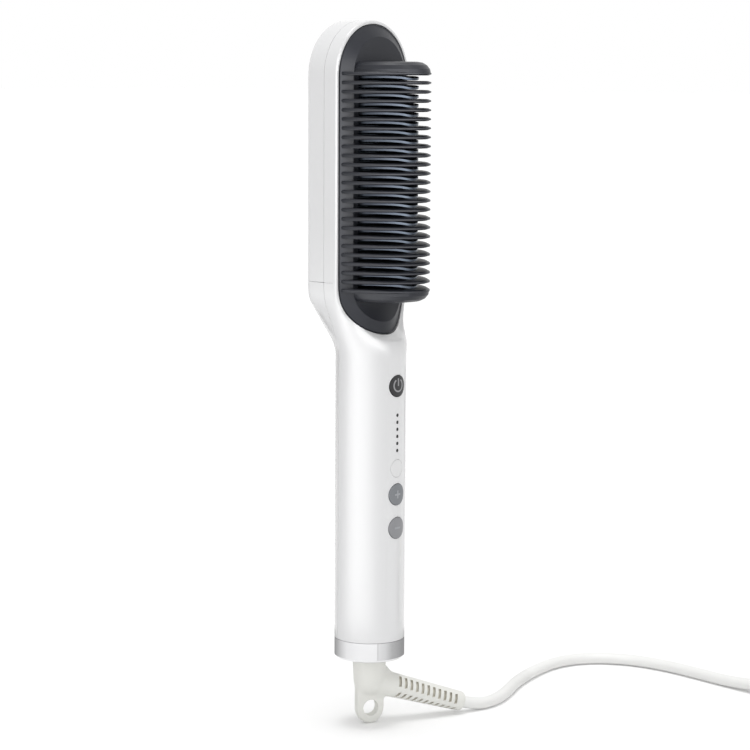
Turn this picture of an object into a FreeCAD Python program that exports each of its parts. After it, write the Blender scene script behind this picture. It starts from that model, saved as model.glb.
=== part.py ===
import FreeCAD, Part
import math
import os
from FreeCAD import Rotation, Vector

# Corded hair straightening brush, standing upright on the lug of its cord boot. Millimetres.
# +X is right when facing the comb, -Y points out of the comb, +Z runs up the handle.
# The origin is the centre of the hanging hole in the lug, on the axis of the handle.

os.makedirs("parts", exist_ok=True)

# Clearances
fit_gap = 0.12           # between fixed pieces
seam_gap = 0.16          # seen as a fine line between mouldings
plate_gap = 0.4          # shadow line round the comb plate
button_gap = 0.2         # round each push button
swivel_gap = 0.08        # round the swivel neck of the cord boot
tie_gap = 0.5            # between the cord tie and the coiled cord

# Handle and head housing
handle_r = 15.0
wall = 2.0
ring_bottom_z = 23.0
ring_height = 8.5
neck_start = 132.5       # above the ring's lower edge, where the sides begin to widen
neck_rise = 28.0
neck_side = 0.6          # sides of the neck stand this far outside the handle
head_half = 23.1
head_top_rise = 246.4    # above the ring's lower edge, centre of the round head top
head_rear_y = 16.5
rear_round = 3.0
least_round = 0.3        # of the same corner inside the wall
flare_start = 130.5      # above the ring's lower edge, where the back begins to flare
flare_angle = 31.0
flare_r = 14.0
flare_in = 0.69          # largest radius of the flare, inside the head's square rear corners
front_spare = 1.6        # by which the neck's front clears its widening sides
front_sections = 5       # of the neck's front
face_y = -0.7            # plane of the comb side of the head
rim_round = 1.0          # of the housing's edge round the comb side
ramp_above_power = 37.1  # from the power button to where the face starts to sweep forward
ramp_r = 19.0
ramp_sweep = 85.0
split_y = 6.0            # plane between front and rear mouldings
head_seam_rise = 161.6   # above the ring's lower edge, joint between rear housing and head cover
seam_depth = 0.35
front_wall = 4.2         # thickness of the head's front with the plate recess in it
ledge_window_gap = 1.2   # round the heater base where it passes the ledge

# Comb guard: bevelled plate, bars and end shields
rim = 1.8
guard_t = 2.4
plate_low_above_ramp = 5.8   # centre of the plate's round lower end
bevel_start = 0.5        # from the plate's edge to the foot of the bevel
bevel_width = 4.5
plateau_h = 3.5
bar_pitch = 3.713
bar_t = 1.45
bar_bevel = 0.45         # of the bars' thickness
bar_root_bevel = 0.3     # of their outline beside the plate
bar_tip_bevel = 1.6      # of their outline at the tip
comb_above_crown = 1.2   # middle of the top bar above the centre of the round head top
comb_above_ramp = 3.3    # least height of the lowest bar above the start of the sweep
bar_in = 1.0             # ends of the bars inside the plate's edge
bar_root_y = -1.0
bar_shoulder_half = 6.5
bar_shoulder_y = -26.6
bar_tip_y = -28.8
bar_bulge = 3.0
shield_h = 4.9
hood_side_in = 4.5       # foot of the hood inside the bar's outline beside the plate
hood_tip_in = 0.2        # the same at the tip
shield_side_in = 9.0     # top of the hood inside the bar's outline beside the plate
shield_tip_in = 7.5      # the same at the tip
hood_steps = 4           # facets of the dome
window_edge = 1.8        # from the screws' middle to the edge of the heater window

# Heating comb: base with wavy fins
fin_t = 0.85
fin_side = 0.6           # from fin to edge of the window
fin_shoulder_half = 5.0
fin_shoulder_y = -21.2
fin_tip_y = -23.0
fin_bulge = 1.6
wave_count = 3
wave_spare = 0.9         # of the wave beyond each end of the fin's foot
wave_height = 0.52
base_in = 3.7            # sides of the base inside the plate's edge
base_t = 2.5
base_end = 1.6           # base beyond the window at each end
post_r = 2.3
post_h = 2.5
heater_side = 3.7        # from heater to screw post
heater_end = 4.65        # from heater to end of the base
heater_t = 1.6
heater_spacing = 7.0
sheet_side = 0.7         # from insulation sheet to screw post
sheet_t = 0.5
clamp_t = 0.8
screw_r = 1.0
screw_bite = 3.6         # of the screw in the comb guard
screw_head_r = 1.9
screw_head_h = 1.1
screw_edge = 2.6         # from screw to side of the base
screw_from_end = 10.0
fuse_r = 1.7
fuse_length = 13.0
bead_r = 0.75
bead_length = 4.0

# Controls on the handle's front line, one above another
minus_rise = 57.45       # above the ring's lower edge
plus_above_minus = 14.35
lens_above_plus = 11.1
leds_above_lens = 7.65
led_count = 6
led_pitch = 2.99
power_above_leds = 12.4
button_r = 4.55
button_proud = 0.35
button_flange_r = 5.5
button_flange_t = 0.9
button_travel = 0.5
led_r = 0.65
guide_bar_half = 1.6
guide_bar_t = 1.2
guide_foot = 0.35        # between light guide and diodes
lens_r = 3.7
lens_t = 1.5
board_t = 1.6
board_side = 2.6         # from the board's front edge to the wall
board_end = 9.0          # board beyond the outer switches
rail_reach = 1.8         # of each rail under the board's edge
rail_t = 1.2
switch_half = 3.0
switch_h = 3.4
plunger_r = 1.7
plunger_sink = 1.6       # of the plunger inside its switch
plunger_show = 2.04      # of the plunger between switch and button
diode_half = 0.8
diode_h = 0.7

# Lower end: chrome ring, end cap, swivel
ring_wall = 1.2
ring_lip = 0.6
ring_lip_reach = 1.0
ring_round = 0.9
ring_edge = 0.2          # wall that the round leaves at the lower edge
spigot_wall = 1.7
spigot_rise = 4.0        # spigot inside the handle above the ring
cap_t = 1.8
cap_skirt_h = 4.0
cap_skirt_wall = 1.5
swivel_r = 4.85
swivel_top = 2.2         # swivel neck above the clip
clip_t = 1.0
clip_r = 7.4
clip_groove = 0.9
clip_mouth = 5.0

# Cord boot: collar, elbow, lug with hanging hole, slotted strain relief
hole_r = 3.5
lug_r = 7.0              # from the hole's middle to the lowest point
lug_side = 6.2           # from the hole's middle to the side
lug_t = 4.2
boot_angle = -27.0       # of the boot about the handle's axis
collar_r = 7.3
elbow_r = 6.6
elbow_z = 10.0
relief_reach = 44.0
relief_end_z = -2.3
relief_start_r = 6.3
relief_end_r = 4.3
slot_count = 11
slot_pitch = 2.65
slot_width = 1.1
slot_depth = 1.5
slot_low = 0.9           # of the side slots under the relief's axis
slot_high = 4.2          # and above it
slot_under = 0.62        # share of the radius at which the lower slots end
slot_first = 14.5        # along the relief from the elbow

# Cord, coil, tie and plug
cord_d = 5.2
coil_lift = 1.4          # coil above the floor, on its tie
coil_x = 186.0
coil_y = -126.0
coil_entry = 180.0       # direction from the coil's middle to where the cord joins it
coil_run_in = 18.0       # last straight of the free cord
coil_in_r = 20.0
coil_step = 6.6
coil_rise = 6.0
turns_first = 2.22       # of the lowest layer
turns_layer = 1.75       # of each of the three layers above it
turns_climb = 0.5        # from one layer to the next, and from the top layer to the plug
plug_turn_r = 18.0       # radius at which the cord runs straight into the plug
plug_climb = 0.6         # share of the last climb in which the cord rises
plug_swing = 0.3         # share of the last climb after which the cord swings inwards
arcs_per_turn = 4        # pairs of arcs in each turn
gap_points = 900         # points at which the coil's gap to itself is measured
bend_share = 0.45        # of the shorter run that a bend of the cord takes up
tail_length = 6.0        # straight of the cord before the plug
plug_seat = 0.3          # between the plug and the coil under it
tie_width = 10.0
tie_t = 0.8
tie_turn = 0.875         # of a turn after the entry
plug_r = 8.5
plug_neck_r = 4.4
plug_taper = 20.0
plug_length = 36.0
plug_round = 1.5
blade_t = 1.5
blade_width = 6.3
blade_length = 17.0
blade_spacing = 12.7
blade_sink = 4.0         # of the blades in the plug

# Places worked out from the sizes
floor_z = -lug_r
ring_top = ring_bottom_z + ring_height
inner_r = handle_r - wall
minus_z = ring_bottom_z + minus_rise
plus_z = minus_z + plus_above_minus
lens_z = plus_z + lens_above_plus
led_z = [lens_z + leds_above_lens + i * led_pitch for i in range(led_count)]
power_z = led_z[-1] + power_above_leds
button_z = {"power": power_z, "plus": plus_z, "minus": minus_z}
flange_y = button_gap - math.sqrt(inner_r ** 2 - button_flange_r ** 2)
button_back = flange_y + button_flange_t
switch_top = button_back + fit_gap + plunger_show
board_y = switch_top + switch_h + fit_gap
board_half = math.sqrt(inner_r ** 2 - board_y ** 2) - board_side
board_low = minus_z - board_end
board_high = power_z + board_end
neck_z = ring_bottom_z + neck_start
neck_half = handle_r + neck_side
flare_z = ring_bottom_z + flare_start
flare_reach = math.hypot(head_half, head_rear_y) - flare_in
head_c = ring_bottom_z + head_top_rise
ramp_z = power_z + ramp_above_power
seam_z = ring_bottom_z + head_seam_rise
plate_r = head_half - rim
plate_low_c = ramp_z + plate_low_above_ramp
comb_top = head_c + comb_above_crown
bar_count = 1 + int((comb_top - ramp_z - comb_above_ramp) / bar_pitch)
comb_bottom = comb_top - (bar_count - 1) * bar_pitch
comb_mid = (comb_top + comb_bottom) / 2
bar_half = plate_r - bar_in
base_half = plate_r - base_in
base_y = face_y + guard_t + fit_gap
base_back = base_y + base_t
base_low = comb_bottom - base_end
base_high = comb_top + base_end
screw_x = base_half - screw_edge
window_half = screw_x - window_edge
fin_half = window_half - fin_side
wave_length = 2 * (fin_half + wave_spare) / wave_count
heater_half = screw_x - post_r - heater_side
heater_length = (base_high - base_low - heater_spacing) / 2 - heater_end
sheet_half = screw_x - post_r - sheet_side
post_back = base_back + post_h
clamp_y = post_back + fit_gap
clamp_back = clamp_y + clamp_t
ring_in = handle_r - ring_wall
spigot_out = ring_in - fit_gap
spigot_in = spigot_out - spigot_wall
cap_z = ring_bottom_z + ring_lip + fit_gap
cap_top = cap_z + cap_t
collar_top = cap_z - fit_gap
clip_z = cap_top + fit_gap
cord_r = cord_d / 2
cord_z = floor_z + cord_r
coil_out_r = coil_in_r + turns_layer * coil_step
coil_first_r = coil_in_r + turns_first * coil_step
plug_rise = cord_r + plug_r + plug_seat
far = 400.0              # beyond the object on every side
touching = 0.01          # distance that counts as being in the same plane
straight = 1e-6          # turn that counts as none


def show(name, shape):
    """Check one piece and write it under its node's name."""
    solids = shape.Solids
    if not shape.isValid() or not solids:
        print("FAULT", name, "is not a valid solid")
    Part.Compound(solids).exportStep("parts/" + name + ".step")
    print(name, len(solids), "solid(s)", round(shape.Volume, 1), "mm3")


def line(a, b):
    return Part.LineSegment(a, b).toShape()


def arc(a, b, c):
    return Part.Arc(a, b, c).toShape()


def box(x0, x1, y0, y1, z0, z1):
    return Part.makeBox(x1 - x0, y1 - y0, z1 - z0, Vector(x0, y0, z0))


def rod(radius, y0, y1, x, z):
    """Cylinder along Y."""
    return Part.makeCylinder(radius, y1 - y0, Vector(x, y0, z), Vector(0, 1, 0))


def tube(outer, inner, z0, z1):
    """Ring about the handle's axis."""
    base = Vector(0, 0, z0)
    return Part.makeCylinder(outer, z1 - z0, base).cut(Part.makeCylinder(inner, z1 - z0, base))


def round_rim(shape, middle, out, radius):
    """Round the circular edge of the end face that looks along out."""
    rim_edges = [e for e in shape.Edges
                 if len(e.Vertexes) == 1 and abs((e.Vertexes[0].Point - middle).dot(out)) < touching]
    return shape.makeFillet(radius, rim_edges)


def stadium(radius, low, high, y):
    """Outline with two round ends, in a plane of constant Y."""
    a = Vector(radius, y, low)
    b = Vector(radius, y, high)
    c = Vector(-radius, y, high)
    d = Vector(-radius, y, low)
    top = Vector(0, y, high + radius)
    bottom = Vector(0, y, low - radius)
    return Part.Wire([line(a, b), arc(b, top, c), line(c, d), arc(d, bottom, a)])


def stadium_block(radius, low, high, y0, y1):
    return Part.Face(stadium(radius, low, high, y0)).extrude(Vector(0, y1 - y0, 0))


def neck_arcs():
    """Turn and radius of the two equal arcs in the neck's side."""
    turn = 2 * math.atan((head_half - neck_half) / neck_rise)
    return turn, neck_rise / (2 * math.sin(turn))


def side_half(z):
    """Half width of the housing at a height."""
    radius = neck_arcs()[1]
    rise = min(max(z - neck_z, 0.0), neck_rise)
    if rise < neck_rise / 2:
        return neck_half + radius - math.sqrt(radius ** 2 - rise ** 2)
    return head_half - radius + math.sqrt(radius ** 2 - (neck_rise - rise) ** 2)


def housing_outline(inset, bottom, y):
    """Front view of head, neck and handle, drawn in by an inset."""
    turn, radius = neck_arcs()
    top_z = neck_z + neck_rise

    def lower(a):
        r = radius + inset
        return neck_half + radius - r * math.cos(a), neck_z + r * math.sin(a)

    def upper(a):
        r = radius - inset
        return head_half - radius + r * math.cos(a), top_z - r * math.sin(a)

    side = [(neck_half - inset, bottom), lower(0), lower(turn / 2), lower(turn), upper(turn / 2), upper(0),
            (head_half - inset, head_c)]
    right = [Vector(x, y, z) for x, z in side]
    left = [Vector(-x, y, z) for x, z in side]
    crown = Vector(0, y, head_c + head_half - inset)
    edges = [arc(right[6], crown, left[6]), line(left[0], right[0])]
    for p in (right, left):
        edges += [line(p[0], p[1]), arc(p[1], p[2], p[3]), arc(p[3], p[4], p[5]), line(p[5], p[6])]
    return Part.Wire(Part.__sortEdges__(edges))


def flare_solid(inset, bottom):
    """Round body of the handle that opens towards the head."""
    angle = math.radians(flare_angle)
    arc_out = flare_r * (1 - math.cos(angle))
    arc_up = flare_r * math.sin(angle)
    top = flare_z + 2 * arc_up + (flare_reach - handle_r - 2 * arc_out) / math.tan(angle)

    def lower(a):
        r = flare_r + inset
        return Vector(handle_r + flare_r - r * math.cos(a), 0, flare_z + r * math.sin(a))

    def upper(a):
        r = flare_r - inset
        return Vector(flare_reach - flare_r + r * math.cos(a), 0, top - r * math.sin(a))

    foot = Vector(handle_r - inset, 0, bottom)
    rim_top = Vector(flare_reach - inset, 0, far)
    axis_top = Vector(0, 0, far)
    axis_foot = Vector(0, 0, bottom)
    edges = [line(axis_foot, foot), line(foot, lower(0)), arc(lower(0), lower(angle / 2), lower(angle)),
             line(lower(angle), upper(angle)), arc(upper(angle), upper(angle / 2), upper(0)),
             line(upper(0), rim_top), line(rim_top, axis_top), line(axis_top, axis_foot)]
    return Part.Face(Part.Wire(edges)).revolve(Vector(0, 0, 0), Vector(0, 0, 1), 360)


def housing_solid(inset, bottom):
    """Whole outside of the housing, before the comb side is cut."""
    front = -flare_reach
    rear = head_rear_y - inset
    block = Part.Face(housing_outline(inset, bottom, front)).extrude(Vector(0, rear - front, 0))
    rear_edges = [e for e in block.Edges
                  if all(abs(v.Y - rear) < touching for v in e.Vertexes)
                  and e.BoundBox.ZMax > bottom + touching]
    block = block.makeFillet(max(rear_round - inset, least_round), rear_edges)
    return block.common(flare_solid(inset, bottom))


def neck_front_waste():
    """What the neck loses in front, so that it stays as deep as the handle while its sides widen."""
    high = neck_z + neck_rise
    rounds = []
    for k in range(front_sections + 1):
        z = flare_z + (high - flare_z) * k / front_sections
        half = max(side_half(z) + front_spare * (z - flare_z) / neck_rise, handle_r + touching)
        rounds.append(Part.Wire([Part.Ellipse(Vector(0, 0, z), half, handle_r).toShape()]))
    return box(-far, far, -far, 0, flare_z, high).cut(Part.makeLoft(rounds, True))


def sweep_lines(offset):
    """Side view of the face and its forward sweep, set back by an offset: a line and an arc."""
    middle = Vector(0, face_y - ramp_r, ramp_z)
    radius = ramp_r + offset
    end = math.radians(ramp_sweep)
    points = [middle + Vector(0, radius * math.cos(a), -radius * math.sin(a)) for a in (0, end / 2, end)]
    return line(Vector(0, face_y + offset, far), points[0]), arc(*points)


def in_front(offset):
    """All that lies in front of the face and its forward sweep, set back by an offset."""
    face_line, sweep = sweep_lines(offset)
    top = face_line.Vertexes[0].Point
    foot = sweep.Vertexes[1].Point
    corner = Vector(0, -far, far)
    out = Vector(0, -far, foot.z)
    face = Part.Face(Part.Wire([face_line, sweep, line(foot, out), line(out, corner), line(corner, top)]))
    face.translate(Vector(-far / 2, 0, 0))
    return face.extrude(Vector(far, 0, 0))


def sweep_sheet(offset, radius):
    """The face and its forward sweep, set back by an offset, inside the plate's kind of outline."""
    block = stadium_block(radius, plate_low_c, head_c, -far, far)
    faces = []
    for edge in sweep_lines(offset):
        edge.translate(Vector(-far / 2, 0, 0))
        faces += edge.extrude(Vector(far, 0, 0)).common(block).Faces
    return faces


def edge_middle(edge):
    return edge.valueAt((edge.FirstParameter + edge.LastParameter) / 2)


def on_sweep(point):
    """Whether a point lies on the face or its sweep."""
    if point.z > ramp_z:
        return abs(point.y - face_y) < touching
    return abs(math.hypot(point.y - face_y + ramp_r, point.z - ramp_z) - ramp_r) < touching


def ogive(half, root_y, shoulder_half, shoulder_y, tip_y, bulge, z):
    """Arched outline of a comb bar or fin, in a plane of constant Z."""
    root = Vector(-half, root_y, z)
    shoulder = Vector(-shoulder_half, shoulder_y, z)
    chord = shoulder - root
    outward = Vector(chord.y, -chord.x, 0).normalize()
    flank = (root + shoulder) * 0.5 + outward * bulge

    def mirror(p):
        return Vector(-p.x, p.y, p.z)

    tip = Vector(0, tip_y, z)
    return Part.Wire([arc(root, flank, shoulder), arc(shoulder, tip, mirror(shoulder)),
                      arc(mirror(shoulder), mirror(flank), mirror(root)), line(mirror(root), root)])


def bar_wire(z, side_in=0.0, tip_in=0.0):
    return ogive(bar_half - side_in, bar_root_y, bar_shoulder_half, bar_shoulder_y + tip_in,
                 bar_tip_y + tip_in, bar_bulge, z)


def bar_solid():
    """One bar of the guard about z = 0, with bevelled edges."""
    edge = bar_t / 2
    flat = edge - bar_bevel
    wires = [bar_wire(-edge, bar_root_bevel, bar_tip_bevel), bar_wire(-flat), bar_wire(flat),
             bar_wire(edge, bar_root_bevel, bar_tip_bevel)]
    return Part.makeLoft(wires, True, True)


def shield_solid():
    """End shield about z = 0: a bar with a domed hood on it."""
    steps = []
    for k in range(hood_steps + 1):
        a = math.pi / 2 * k / hood_steps
        drawn = 1 - math.cos(a)
        side = hood_side_in + (shield_side_in - hood_side_in) * drawn
        tip = hood_tip_in + (shield_tip_in - hood_tip_in) * drawn
        steps.append(bar_wire(shield_h * math.sin(a), side, tip))
    return bar_solid().fuse(Part.makeLoft(steps, True, True))


def housing_shell():
    """Hollow housing with the plate recess, the ledge under it and the spigot for the ring."""
    cavity = housing_solid(wall, ring_bottom_z).cut(in_front(front_wall))
    shell = housing_solid(0.0, ring_top).cut(neck_front_waste()).cut(in_front(0.0))
    middles = [(e, edge_middle(e)) for e in shell.Edges]
    rim_edges = [e for e, m in middles if on_sweep(m) and abs(m.z - ramp_z) > touching]
    shell = shell.makeFillet(min(rim_round, (rim - plate_gap) / 2 + fit_gap), rim_edges).cut(cavity)
    spigot = tube(spigot_out, spigot_in, cap_top + fit_gap, ring_top + spigot_rise)
    shell = shell.fuse(spigot)
    recess = stadium_block(plate_r + plate_gap, plate_low_c, head_c, -far, far)
    shell = shell.cut(recess.common(in_front(guard_t + fit_gap)))
    half = base_half + ledge_window_gap
    low = base_low - ledge_window_gap
    high = base_high + ledge_window_gap
    return shell.cut(box(-half, half, -far, split_y, low, high))


def rail(side):
    """Ledge inside the handle that carries one edge of the control board."""
    y0 = board_y + board_t + fit_gap
    block = box(board_half - rail_reach, handle_r, y0, y0 + rail_t, board_low, board_high)
    if side < 0:
        block = block.mirror(Vector(0, 0, 0), Vector(1, 0, 0))
    return block.common(Part.makeCylinder(handle_r - wall / 2, far))


def make_housings():
    shell = housing_shell()
    half_gap = seam_gap / 2
    front = shell.common(box(-far, far, -far, split_y - half_gap, -far, far))
    front = front.fuse([rail(-1), rail(1)])
    for z in button_z.values():
        front = front.cut(rod(button_r + button_gap, -far, -handle_r / 2, 0, z))
    for z in led_z:
        front = front.cut(rod(led_r + fit_gap, -far, -handle_r / 2, 0, z))
    front = front.cut(rod(lens_r + fit_gap, -far, -handle_r / 2, 0, lens_z))
    groove = box(-far, far, face_y + rim, split_y, seam_z - half_gap, seam_z + half_gap)
    front = front.cut(groove.cut(housing_solid(seam_depth, ring_bottom_z)))
    show("front_housing", front.removeSplitter())
    rear = shell.common(box(-far, far, split_y + half_gap, far, -far, seam_z - half_gap))
    show("rear_housing", rear.removeSplitter())
    cover = shell.common(box(-far, far, split_y + half_gap, far, seam_z + half_gap, far))
    show("head_rear_cover", cover.removeSplitter())


def screw_places():
    heights = (base_low + screw_from_end, base_high - screw_from_end)
    return [(x, z) for x in (-screw_x, screw_x) for z in heights]


def plateau_border(faces):
    """Outer edges of a sheet, in order round the plate's middle."""
    plate_mid = (plate_low_c + head_c) / 2
    around = []
    for edge in (e for face in faces for e in face.Edges):
        m = edge_middle(edge)
        if abs(m.z - ramp_z) > touching or abs(m.x) > touching:
            around.append((math.atan2(m.x, m.z - plate_mid), edge))
    return [edge for angle, edge in sorted(around, key=lambda item: item[0])]


def plateau_solid():
    """Raised middle of the comb plate: it follows the sweep, with an even bevel all round."""
    sunk = guard_t / 2
    foot_r = plate_r - bevel_start
    sole = sweep_sheet(sunk, foot_r + sunk * bevel_width / plateau_h)
    top = sweep_sheet(-plateau_h, foot_r - bevel_width)
    sides = [Part.makeRuledSurface(a, b) for a, b in zip(plateau_border(sole), plateau_border(top))]
    skin = Part.Compound(sole + top + sides)
    skin.sewShape()
    solid = Part.Solid(skin.Shells[0])
    return solid.common(stadium_block(plate_r, plate_low_c, head_c, -far, far))


def make_guard():
    skin = stadium_block(plate_r, plate_low_c, head_c, -far, far)
    skin = skin.common(in_front(guard_t)).cut(in_front(0.0))
    guard = skin.fuse(plateau_solid())
    edge = bar_t / 2
    guard = guard.cut(box(-window_half, window_half, -far, far, comb_bottom + edge, comb_top - edge))
    bars = []
    for i in range(1, bar_count - 1):
        bar = bar_solid()
        bar.translate(Vector(0, 0, comb_top - i * bar_pitch))
        bars.append(bar)
    upper = shield_solid()
    lower = upper.mirror(Vector(0, 0, 0), Vector(0, 0, 1))
    upper.translate(Vector(0, 0, comb_top))
    lower.translate(Vector(0, 0, comb_bottom))
    guard = guard.fuse(bars + [upper, lower])
    for x, z in screw_places():
        guard = guard.cut(rod(screw_r + fit_gap, face_y + guard_t - screw_bite - fit_gap, far, x, z))
    show("comb_guard", guard.removeSplitter())


def wave_face(z):
    """Wavy strip seen from the front: equal arcs, one after another, above and below a line."""
    half = wave_length / 2
    radius = (half * half + wave_height * wave_height) / (2 * wave_height)
    slope = math.asin(half / radius)
    rows = []
    for offset in (fin_t / 2, -fin_t / 2):
        row = []
        for k in range(wave_count):
            up = 1 if k % 2 == 0 else -1
            middle = Vector((k - (wave_count - 1) / 2) * wave_length, 0, z + up * (wave_height - radius))
            r = radius + up * offset
            points = [middle + Vector(r * math.sin(a), 0, up * r * math.cos(a)) for a in (-slope, 0, slope)]
            row.append(points)
        rows.append(row)
    edges = [arc(*points) for row in rows for points in row]
    edges.append(line(rows[0][0][0], rows[1][0][0]))
    edges.append(line(rows[0][-1][2], rows[1][-1][2]))
    return Part.Face(Part.Wire(Part.__sortEdges__(edges)))


def fin_solid():
    """One wavy fin about z = 0, from inside the base to its arched edge."""
    foot = base_y + base_t / 2
    strip = wave_face(0.0)
    strip.translate(Vector(0, foot, 0))
    strip = strip.extrude(Vector(0, 2 * fin_tip_y - foot, 0))
    outline = ogive(fin_half, foot, fin_shoulder_half, fin_shoulder_y, fin_tip_y, fin_bulge, -bar_pitch / 2)
    return strip.common(Part.Face(outline).extrude(Vector(0, 0, bar_pitch)))


def make_heating_comb():
    base = box(-base_half, base_half, base_y, base_back, base_low, base_high)
    base = base.fuse([rod(post_r, base_back - base_t / 2, post_back, x, z) for x, z in screw_places()])
    fins = []
    for i in range(bar_count - 1):
        fin = fin_solid()
        fin.translate(Vector(0, 0, comb_top - (i + 0.5) * bar_pitch))
        fins.append(fin)
    comb = base.fuse(fins)
    for x, z in screw_places():
        comb = comb.cut(rod(screw_r + fit_gap, base_y - base_t, far, x, z))
    show("heating_comb", comb.removeSplitter())


def make_heater_stack():
    """Ceramic heaters, insulation and clamp behind the heating comb, with fuse and temperature sensor."""
    y = base_back + fit_gap
    reach = heater_spacing / 2
    heater_low = {"upper_heater": comb_mid + reach, "lower_heater": comb_mid - reach - heater_length}
    for name, low in heater_low.items():
        show(name, box(-heater_half, heater_half, y, y + heater_t, low, low + heater_length))
    bead = Part.makeCylinder(bead_r, bead_length, Vector(0, y + bead_r, comb_mid - bead_length / 2))
    show("temperature_sensor", bead)
    reach += heater_length
    sheet_y = clamp_y - fit_gap - sheet_t
    show("insulation_sheet", box(-sheet_half, sheet_half, sheet_y, sheet_y + sheet_t,
                                 comb_mid - reach, comb_mid + reach))
    clamp = box(-base_half, base_half, clamp_y, clamp_back, base_low, base_high)
    for x, z in screw_places():
        clamp = clamp.cut(rod(screw_r + fit_gap, -far, far, x, z))
    show("clamp_plate", clamp)
    screws = []
    head_y = clamp_back + fit_gap
    for x, z in screw_places():
        shank = rod(screw_r, face_y + guard_t - screw_bite, head_y + screw_head_h, x, z)
        screws.append(shank.fuse(rod(screw_head_r, head_y, head_y + screw_head_h, x, z)).removeSplitter())
    show("comb_screws", Part.Compound(screws))
    fuse_y = clamp_back + fit_gap + fuse_r
    fuse = Part.makeCylinder(fuse_r, fuse_length, Vector(0, fuse_y, comb_mid - fuse_length / 2))
    show("thermal_fuse", fuse)


def make_controls():
    """Buttons, switches, lamps and the control board they sit on."""
    show("control_board", box(-board_half, board_half, board_y, board_y + board_t, board_low, board_high))
    skin = Part.makeCylinder(handle_r + button_proud, far)
    for name, z in button_z.items():
        cap = rod(button_r, -far, flange_y + button_flange_t / 2, 0, z).common(skin)
        flange = rod(button_flange_r, flange_y, button_back, 0, z)
        show(name + "_button", cap.fuse(flange).removeSplitter())
        plunger = rod(plunger_r, button_back + fit_gap, switch_top + plunger_sink, 0, z)
        show(name + "_switch_plunger", plunger)
        body = box(-switch_half, switch_half, switch_top, board_y - fit_gap,
                   z - switch_half, z + switch_half)
        well = rod(plunger_r + fit_gap, -far, switch_top + plunger_sink + button_travel + fit_gap, 0, z)
        show(name + "_switch", body.cut(well))
    diode_top = board_y - fit_gap - diode_h
    diodes = [box(-diode_half, diode_half, diode_top, board_y - fit_gap, z - diode_half, z + diode_half)
              for z in led_z]
    show("indicator_diodes", Part.Compound(diodes))
    guide_foot_y = diode_top - guide_foot
    handle = Part.makeCylinder(handle_r, far)
    pipes = [rod(led_r, -far, guide_foot_y, 0, z).common(handle) for z in led_z]
    bar = box(-guide_bar_half, guide_bar_half, guide_foot_y - 2 * guide_bar_t, guide_foot_y - guide_bar_t,
              led_z[0] - guide_bar_half, led_z[-1] + guide_bar_half)
    show("indicator_light_guide", bar.fuse(pipes).removeSplitter())
    lens = rod(lens_r, -far, -handle_r + lens_t, 0, lens_z).common(handle)
    pipe = rod(led_r, -handle_r + lens_t / 2, guide_foot_y, 0, lens_z)
    show("status_lens", lens.fuse(pipe).removeSplitter())
    show("status_diode", box(-diode_half, diode_half, diode_top, board_y - fit_gap,
                             lens_z - diode_half, lens_z + diode_half))


def make_lower_end():
    """Chrome ring, end cap and the clip that holds the swivelling boot."""
    ring = Part.makeCylinder(handle_r, ring_height - seam_gap, Vector(0, 0, ring_bottom_z))
    down = Vector(0, 0, -1)
    ring = round_rim(ring, Vector(0, 0, ring_bottom_z), down, min(ring_round, ring_wall - ring_edge))
    ring = ring.cut(Part.makeCylinder(ring_in, far, Vector(0, 0, ring_bottom_z + ring_lip)))
    ring = ring.cut(Part.makeCylinder(ring_in - ring_lip_reach, far, Vector(0, 0, 0)))
    show("chrome_ring", ring)
    skirt_out = spigot_in - fit_gap
    cap = tube(spigot_out, swivel_r + swivel_gap, cap_z, cap_top)
    cap = cap.fuse(tube(skirt_out, skirt_out - cap_skirt_wall, cap_z, cap_top + cap_skirt_h))
    show("end_cap", cap.removeSplitter())
    clip = tube(clip_r, swivel_r - clip_groove + swivel_gap, clip_z, clip_z + clip_t)
    clip = clip.cut(box(0, far, -clip_mouth / 2, clip_mouth / 2, 0, far))
    show("swivel_clip", clip)


def turned(shape):
    """Turn a piece of the boot from the X axis to the boot's own direction."""
    shape.rotate(Vector(0, 0, 0), Vector(0, 0, 1), boot_angle)
    return shape


def relief_frame():
    start = Vector(0, 0, elbow_z)
    end = Vector(relief_reach, 0, relief_end_z)
    return start, end


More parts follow.
